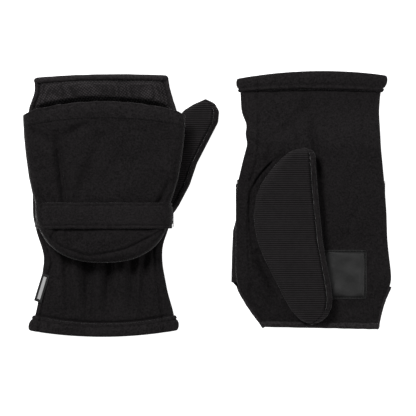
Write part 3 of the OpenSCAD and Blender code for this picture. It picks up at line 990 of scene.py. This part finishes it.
def make_cuff(side):
    """The cuff's hem, a band of doubled fleece closed both ways, and the elastic under the wrist's
    fleece."""
    around = np.linspace(0, 2 * np.pi, 260, endpoint=False)[None, :]
    s = np.cos(around)
    up = np.sin(around) >= 0
    step = np.linspace(0, 2 * np.pi, 40, endpoint=False)[:, None]
    out = 1.15 + 1.75 * np.sin(step)
    share = 0.5 - 0.5 * np.sign(np.cos(step)) * np.abs(np.cos(step)) ** 0.55
    edge_y = cuff_edge_y(side, s)
    y = edge_y + share * (cuff_stitch_y(side, s) - edge_y + 0.3)
    out = out - 1.5 * bell(share - 0.75, 0.06) * (np.sin(step) > 0)
    out = out * (1 - 0.35 * share**3) * (1 + 0.05 * soft_noise(around * 35 + 0 * y, y, 7, 5))
    x = hand_x(side, np.maximum(y, 3.0), s, 0) + out * s * np.abs(s) ** 4
    z = sleeve_z(side, x, y, s, up) + out * np.where(up, 1, -1) * edge_room(s, 6) ** 0.5
    hem = cloth_surface(side, "cuff_hem_fleece", x, y, on_table(side, z), ring=True, loop=True)
    dress(hem, "hem_fleece_painted_highlight", "hands", [side + "_cuff_hem"])

    y = np.linspace(*ELASTIC_Y, 9)[:, None] + 0 * s
    x = hand_x(side, y, s, ELASTIC_INSET)
    z = sleeve_z(side, x, y, s, up, ELASTIC_INSET)
    band = cloth_surface(side, "wrist_elastic_band", x, y, z, ring=True)
    dress(thicken(band, 0.15), "elastic", "hands", [side + "_wrist_elastic"])


def box_mean(values, reach):
    """Mean of each value and the reach values on either side of it, with the ends repeated."""
    count = 2 * reach + 1
    return np.convolve(np.pad(values, reach, "edge"), np.ones(count) / count, "valid")


def make_finger_end(side):
    """The binding round the open finger end, up one side, across and down the other, and the cap's seam
    roll."""
    rise = BINDING_RUN * np.linspace(0, 1, 60)
    little_y, thumb_y = BINDING_START_Y + rise, BINDING_START_Y + BINDING_RUN - rise
    little = np.stack([smooth_line(LITTLE_EDGE[side], little_y), little_y], 1)
    thumb = np.stack([smooth_line(THUMB_EDGE[side], thumb_y), thumb_y], 1)
    across = spread(90)
    top_y = finger_end_y(side, across)
    top = np.stack([hand_x(side, top_y, across), top_y - 0.9], 1)
    line = np.concatenate([little[:-1], top[1:-1], thumb[1:]])
    middle_z = BINDING_MIDDLE_Z[side]
    edge_z = middle_z + (BINDING_SIDE_Z - middle_z) * np.abs(across[1:-1]) ** 10
    edge_z = np.concatenate([np.full(59, BINDING_SIDE_Z), edge_z, np.full(59, BINDING_SIDE_Z)])
    path = np.column_stack([line, edge_z])
    path = np.column_stack([box_mean(path[:, k], 3) for k in range(3)])
    side_girth = np.full(59, BINDING_SIDE_GIRTH)
    girth = box_mean(np.concatenate([side_girth, np.full(88, 1.0), side_girth]), 4)
    girth = girth * (1 + 0.06 * soft_noise(np.arange(len(girth)) * 1.2, 0 * girth, 9, 4))
    binding = swept(side + "_finger_binding_fleece", side, path, round_section(2.5, 2.5), (0, 0, 1), girth)
    dress(binding, "edge_fleece_painted_sheen", "hands", [side + "_finger_edge_binding"])

    low, high = [hand_x(side, np.array(HINGE_Y), end) for end in (-0.93, 0.93)]
    x = np.linspace(low, high, 80)
    roll = np.column_stack([x, np.full(80, HINGE_Y + 0.6), np.full(80, HAND_THICK - 1.3)])
    seam = swept(side + "_hinge_seam_roll", side, roll, round_section(1.1, 1.2), (0, 0, 1))
    dress(seam, "fleece", "hands")


def make_cuff_threads(side):
    """The rows of stitches above the cuff's hem, one on the back and one on the palm."""
    s_line = spread(160)
    y_line = cuff_stitch_y(side, s_line) - 1.1
    x_line = hand_x(side, y_line, s_line)
    for label, z_of, way in (("back", back_z, 1), ("palm", palm_z, -1)):
        z_line = z_of(side, x_line, y_line, s_line) + 1.2 * way * edge_room(s_line, 6) ** 0.5
        path = np.column_stack([x_line, y_line, on_table(side, z_line, 0.4)])[6:-6]
        row = stitch_row(side + "_cuff_thread_" + label, side, path, (0, 0, way))
        dress(row, "thread", "hands")


def make_cap(side):
    """The flip-top cap: palm side, back side, pocket lining, hem and threads."""
    body = side + "_cap"
    s = spread(130)[None, :]
    x, y = cap_grid(side, 190, s, mouth_stitch_y(side, s))
    top = cloth_surface(side, "cap_palm_fleece", x, y, cap_top_z(side, x, y))
    dress(thicken(top, FLEECE_THICK), "fleece", body, [side + "_cap_palm_panel"])
    x, y = cap_grid(side, 150, s, HINGE_Y - 0.2 + 0 * s)
    under = cloth_surface(side, "cap_back_fleece", x, y, cap_bottom_z(side, x, y))
    dress(thicken(under, FLEECE_THICK), "fleece", body, [side + "_cap_back_panel"])

    # Pocket lining: an inner bag, closed at the fingertips and open at the mouth.
    s_bag = spread(60)[None, :]
    x_up, y_up = cap_grid(side, 70, s_bag, mouth_stitch_y(side, s_bag) - 1, 3.0)
    x_low, y_low = cap_grid(side, 70, s_bag, HINGE_Y - 1 + 0 * s_bag, 3.0)
    upper = np.stack([x_up, y_up, np.maximum(cap_top_z(side, x_up, y_up, 0) - 2.4, CAP_MIDDLE)], -1)
    lower = np.stack([x_low, y_low, np.minimum(cap_bottom_z(side, x_low, y_low, 0) + 2.4, CAP_MIDDLE)], -1)
    upper[:, [0, -1], 2] = lower[:, [0, -1], 2] = CAP_MIDDLE
    bag = np.concatenate([upper, lower[:, ::-1][:, 1:-1]], 1)
    lining = cloth_grid(side + "_cap_lining_knit", side, bag, ring=True, inward=True)
    dress(thicken(lining, LINING_THICK), "lining_knit", body, [side + "_cap_lining"])

    # Hem of the mouth: doubled fleece folded over the free edge.
    step = np.linspace(0, 2 * np.pi, 44, endpoint=False)[:, None]
    share = 0.5 - 0.5 * np.sign(np.cos(step)) * np.abs(np.cos(step)) ** 0.5
    layer = np.sign(np.sin(step)) * np.abs(np.sin(step)) ** 0.8
    inner, outer = mouth_stitch_y(side, s), mouth_edge_y(side, s)
    pucker = 0.35 * soft_noise(s * 60, 0 * s, 9, 14)
    y = inner - 0.6 + share * (outer - inner + 0.6) + pucker * share
    little, thumb = cap_outline(side, y)
    x = across_from(little, thumb, s)
    z = cap_top_z(side, x, y) - 0.9 + 1.35 * layer + 0.5 * np.sin(np.pi * np.clip(share, 0, 1)) * (layer > 0)
    z = z + 0.3 * soft_noise(x, y, 8, 15) * share * (layer > 0)
    z = z - 0.5 * bell(share - 0.84, 0.06) * (layer > 0)
    band = np.stack([x, y, z], -1)
    ends = [np.repeat(band[:, k : k + 1].mean(0, keepdims=True), len(step), 0) for k in (0, -1)]
    band = np.concatenate([ends[0], band, ends[1]], 1)
    hem = cloth_grid(side + "_cap_hem_fleece", side, band, loop=True)
    dress(hem, "hem_fleece_painted_highlight", body, [side + "_cap_hem"])

    line = spread(150)
    inner = mouth_stitch_y(side, line) + 0.9
    little, thumb = cap_outline(side, inner)
    x = across_from(little, thumb, line)
    path = np.column_stack([x, inner, cap_top_z(side, x, inner) + 0.5])[5:-5]
    dress(stitch_row(side + "_cap_hem_thread", side, path, (0, 0, 1)), "thread", body)


STRAP_SPAN = {"left": (-50.7, 52.4), "right": (-54.0, 57.6)}


def make_strap(side):
    """The holding strap: a padded fleece band over the cap, sewn down at both side seams, with bar
    tacks."""
    s = spread(140)
    low, high = STRAP_SPAN[side]
    x = (low + high) / 2 + (high - low) / 2 * 0.998 * s
    z = 14.6 + 16.2 * edge_room(0.996 * s, 9) ** 0.5
    path = np.column_stack([x, np.full(140, STRAP_Y), z])
    section = round_section(STRAP_HALF_WIDTH, 1.75, 5.0, 88)
    section[:, 1] += 0.22 * np.cos(section[:, 0] / STRAP_HALF_WIDTH * np.pi) * (section[:, 1] > 0)
    for place, sunk in ((3.0, 0.45), (-7.6, 0.6), (7.6, 0.6)):
        section[:, 1] -= sunk * bell(section[:, 0] - place, 0.8) * (section[:, 1] > 0)
    swell = 1 + 0.02 * soft_noise(x, 0 * x, 12, 41)
    strap = swept(side + "_strap_fleece_painted_highlight", side, path, section, (0, 0, 1), swell)
    dress(strap, "strap_fleece_painted_highlight", "hands", [side + "_holding_strap"])
    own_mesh(strap)
    along = np.linspace(low + 6, high - 6, 120)
    run = np.column_stack([along, np.full(120, STRAP_Y + 3.2), np.full(120, 32.35)])
    bars = [stitch_row(side + "_strap_thread", side, run, (0, 0, 1), 3.0, 1.6, 0.2)]
    for way in (-1, 1):
        ends = np.linspace(STRAP_Y - 8.5, STRAP_Y + 8.5, 30)
        reach = (low if way < 0 else high) + 1.8 * way
        path = np.column_stack([np.full(30, reach), ends, np.full(30, 16.6)])
        row = stitch_row(side + "_strap_tack_" + ("little" if way < 0 else "thumb"), side, path, (way, 0, 0),
                         0.8, 1.9, 0.28, 1.6)
        bars.append(row)
    dress(bars[0], "patch_thread", "hands")
    dress(bars[1], "thread", "hands", [side + "_strap_tacks"])
    dress(bars[2], "thread", "hands")
    for bar in bars:
        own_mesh(bar)


def make_patch(side):
    """The grip patch: a leather square with turned corners, proud of the palm, and its row of stitches."""
    centre, half = np.array([-24.2, 157.2]), np.array([16.5, 19.0])
    u = spread(70)[None, :]
    v = spread(76)[:, None]
    corner = 1 - 0.035 * (np.abs(u) ** 8) * (np.abs(v) ** 8)
    x = centre[0] + half[0] * u * corner + 0 * v
    y = centre[1] + half[1] * v * corner + 0 * u
    edge = np.minimum(1 - np.abs(u), 1 - np.abs(v)) * half[0]
    share = hand_share(side, x, y)
    surface = palm_z(side, x, y, share)
    puckers = 0.12 * soft_noise(x, y, 5, 51) * bell(edge, 3.5)
    proud = 0.9 * roundness(edge, 1.2) - 0.8 * bell(edge - 1.2, 0.5) + puckers
    proud = proud + (1.7 * soft_noise(x, y, 21, 57) + 0.7) * roundness(edge - 2, 9)
    face = np.stack([x, y, on_table(side, surface - np.maximum(proud, 0) * roundness(edge, 0.4))], -1)
    rear = np.stack([x, y, surface + 0.5 * roundness(edge, 0.4)], -1)[::-1]
    grid = np.concatenate([face, rear[1:]], 0)
    patch = cloth_grid(side + "_patch_leather", side, grid)
    dress(patch, "grip_leather", "hands", [side + "_palm_patch"])
    inset = half - 1.2
    turn = np.array([(-1, -1), (1, -1), (1, 1), (-1, 1), (-1, -1)]) * inset
    t = np.linspace(0, 4, 241)
    line = centre + np.column_stack([np.interp(t, range(5), turn[:, 0]), np.interp(t, range(5), turn[:, 1])])
    z = palm_z(side, line[:, 0], line[:, 1], hand_share(side, line[:, 0], line[:, 1])) - 0.75
    z = on_table(side, z, 0.3)
    row = stitch_row(side + "_patch_thread", side, np.column_stack([line, z]), (0, 0, -1), 2.3, 1.5, 0.22)
    dress(row, "thread", "hands", [side + "_patch_stitching"])


def make_label():
    """The folded label on the little finger's side seam of the cuff, blank but for a plain bar."""
    u = np.linspace(0, 1, 20)[None, :, None]
    v = np.linspace(0, 1, 44)[:, None, None]
    corners = np.array([[-53.9, 28.2], [-48.2, 25.9], [-47.3, 49.6], [-41.8, 47.4]])
    flat = (1 - v) * ((1 - u) * corners[0] + u * corners[1]) + v * ((1 - u) * corners[2] + u * corners[3])
    x, y = flat[..., 0], flat[..., 1]
    base = back_z("left", x, y, hand_share("left", x, y))
    cover = np.maximum.accumulate(base[:, ::-1], 1)[:, ::-1]
    z = np.maximum(cover, base) + 0.5 + 0.35 * np.sin(np.pi * v[..., 0]) + 0.3 * (1 - u[..., 0])
    label = cloth_surface("left", "label_woven", x, y, z)
    fix_facing(label, 1)
    dress(thicken(label, 0.5), "woven_label", "hands", ["left_side_label"])


BEND = {
    "left": ((51.5, 110, THUMB_MIDDLE), (58.0, 110, THUMB_MIDDLE)),
    "right": ((48.5, 110, -THUMB_MIDDLE), (40.5, 110, -THUMB_MIDDLE)),
}


def thumb_height(side, x, y, face, ribs):
    """Height of a thumb face with its ribs, whose rows lie square to the hand, sunk along the binding's
    seam."""
    near, far = thumb_edges(side, y)
    off = far - x if side == "left" else x - near
    inside = roundness(thumb_rim(side, x, y), 4)
    sink = -0.9 * bell(off - 4.9, 0.9) * inside
    ridge = ribs * 0.16 * np.cos(2 * np.pi * (y - HAND_CENTRE_Y) / RIB_PITCH) * inside
    return thumb_z(side, x, y, face) + THUMB_WAY[side] * face * (ridge + sink)


def make_thumb(side):
    """The thumb: a ribbed face, a fleece face, the binding strip between them and its lining."""
    body = side + "_thumb"
    start, end = row_frame(side, BEND[side])
    bend = (body, start, end)
    s = spread(72)[None, :]
    x, y = thumb_grid(side, 620, s)
    rib = cloth_surface(side, "thumb_rib_knit", x, y, thumb_height(side, x, y, 1, 1.0))
    x, y = thumb_grid(side, 240, s)
    fleece = cloth_surface(side, "thumb_fleece_back", x, y, thumb_height(side, x, y, -1, 0))
    fix_facing(rib, THUMB_WAY[side] * PLACE[side][1])
    fix_facing(fleece, -THUMB_WAY[side] * PLACE[side][1])
    dress(thicken(rib, KNIT_THICK), "rib_knit", "hands", [side + "_thumb_rib_panel"], bend)
    dress(thicken(fleece, KNIT_THICK), "fleece", "hands", [side + "_thumb_fleece_panel"], bend)

    # Lining: an inner bag between the faces.
    s_bag = spread(40)[None, :]
    x, y = thumb_grid(side, 80, s_bag, 2.4)
    upper = np.stack([x, y, thumb_z(side, x, y, 1, 2.2)], -1)
    lower = np.stack([x, y, thumb_z(side, x, y, -1, 2.2)], -1)
    bag = np.concatenate([upper, lower[:, ::-1][:, 1:-1]], 1)
    lining = cloth_grid(side + "_thumb_lining_knit", side, bag, ring=True)
    dress(lining, "lining_knit", "hands", [side + "_thumb_lining"], bend)

    # Binding: a flat strip of fleece along the straight outer edge, lapped over both faces.
    y_low, y_high, count, inward = (101, 178, 150, -1) if side == "left" else (64, 184, 200, 1)
    y_line = np.linspace(y_low, y_high, count)
    near, far = thumb_edges(side, y_line)
    edge = far if side == "left" else near
    rows = np.linspace(0, 1, 30)[:, None]
    depth = BINDING_LAP * np.abs(2 * rows - 1)
    face = np.where(rows < 0.5, 1.0, -1.0)
    x = edge[None, :] + inward * (depth - 0.3)
    y = y_line[None, :] + 0 * rows
    inside_x = edge[None, :] + inward * np.maximum(depth, 0.02)
    z = thumb_z(side, inside_x, y, face)
    lift = 1.15 * roundness(BINDING_LAP - depth, 1.4)
    z = z + THUMB_WAY[side] * face * lift * (depth > 0.2)
    strip = cloth_grid(side + "_thumb_binding_fleece", side, np.stack([x, y, z], -1).transpose(1, 0, 2))
    dress(thicken(strip, 0.9), "hem_fleece_painted_highlight", "hands", [side + "_thumb_binding"], bend)
    line_x = edge + inward * (BINDING_LAP + 0.5)
    path = np.column_stack([line_x, y_line, thumb_z(side, line_x, y_line, 1)])
    row = stitch_row(side + "_thumb_thread", side, path, (0, 0, THUMB_WAY[side]))
    dress(row, "thread", "hands", (), bend)


def fix_facing(piece, way):
    """Turns a mesh's faces so that most of them look up (way 1) or down (way -1)."""
    normals = np.zeros(len(piece.data.polygons) * 3, np.float32)
    piece.data.polygons.foreach_get("normal", normals)
    if normals.reshape(-1, 3)[:, 2].sum() * way < 0:
        piece.data.flip_normals()


def make_gusset():
    """The tube of fleece between the right palm's thumb hole and the thumb, pressed flat at rest: rings
    of an ellipse round the hole, each a little nearer the thumb."""
    angle = np.linspace(0, 2 * np.pi, 72, endpoint=False)[None, :]
    share = np.linspace(0, 1, 30)[:, None]
    x = 36 + 5.5 * np.cos(angle) + 0 * share
    y = 106 + 22 * np.sin(angle) + 0 * share
    z = 0.9 - 2.2 * share + 0 * angle
    tube = cloth_surface("right", "thumb_gusset", x, y, z, ring=True)
    start, end = row_frame("right", [(36, 106, 0.4), (36, 106, -0.9)])
    dress(thicken(tube, 0.8), "fleece", "hands", (), ("right_thumb", start, end))


for side in SIDES:
    make_sleeve(side)
    make_cuff(side)
    make_finger_end(side)
    make_cuff_threads(side)
    make_cap(side)
    make_strap(side)
    make_patch(side)
    make_thumb(side)
make_label()
make_gusset()

# ---- floor, lights and camera -----------------------------------------------------------------

FLOOR_SIZE = 6.0
VIEW_WIDTH = 0.3245
CAMERA_HEIGHT = 2.0
CAMERA_CENTRE = (0.0, -0.00312)
FLOOR_DROP = 0.0005
SKY_STRENGTH = 0.22


def make_floor():
    """A plain white floor that gives a little light of its own, as a lit table does."""
    bpy.ops.mesh.primitive_plane_add(size=FLOOR_SIZE, location=(0, 0, CAD_LOW[2] - FLOOR_DROP))
    floor = bpy.context.object
    floor.name = "floor"
    made, _, shader, _ = new_finish("floor_white", roughness=1.0, specular=0.0)
    shader.inputs["Base Color"].default_value = (0.9, 0.9, 0.9, 1)
    shader.inputs["Emission Color"].default_value = (1, 1, 1, 1)
    shader.inputs["Emission Strength"].default_value = 1.0
    floor.data.materials.append(made)


def soft_light(name, place, size, power):
    """A square area light aimed at the middle of the pair."""
    data = bpy.data.lights.new(name, "AREA")
    data.shape = "SQUARE"
    data.size = size
    data.energy = power
    lamp = bpy.data.objects.new(name, data)
    lamp.location = place
    lamp.rotation_euler = (-Vector(place)).to_track_quat("-Z", "Y").to_euler()
    bpy.context.scene.collection.objects.link(lamp)


make_floor()
soft_light("key_softbox", (-0.9, 1.25, 1.7), 0.7, 36.5)
soft_light("fill_softbox", (1.7, 0.2, 0.9), 0.9, 9)
soft_light("front_softbox", (0.2, -1.8, 1.0), 1.2, 2)

scene = bpy.context.scene
scene.view_settings.view_transform = "Standard"
scene.world = scene.world or bpy.data.worlds.new("studio")
scene.world.use_nodes = True
sky = scene.world.node_tree.nodes["Background"]
sky.inputs["Color"].default_value = (1, 1, 1, 1)
sky.inputs["Strength"].default_value = SKY_STRENGTH

camera_data = bpy.data.cameras.new("camera")
camera_data.sensor_width = 36.0
camera_data.lens = 36.0 * CAMERA_HEIGHT / VIEW_WIDTH
camera_data.clip_end = 20.0
camera = bpy.data.objects.new("camera", camera_data)
camera.location = (CAMERA_CENTRE[0], CAMERA_CENTRE[1], CAMERA_HEIGHT)
bpy.context.scene.collection.objects.link(camera)
bpy.context.scene.camera = camera
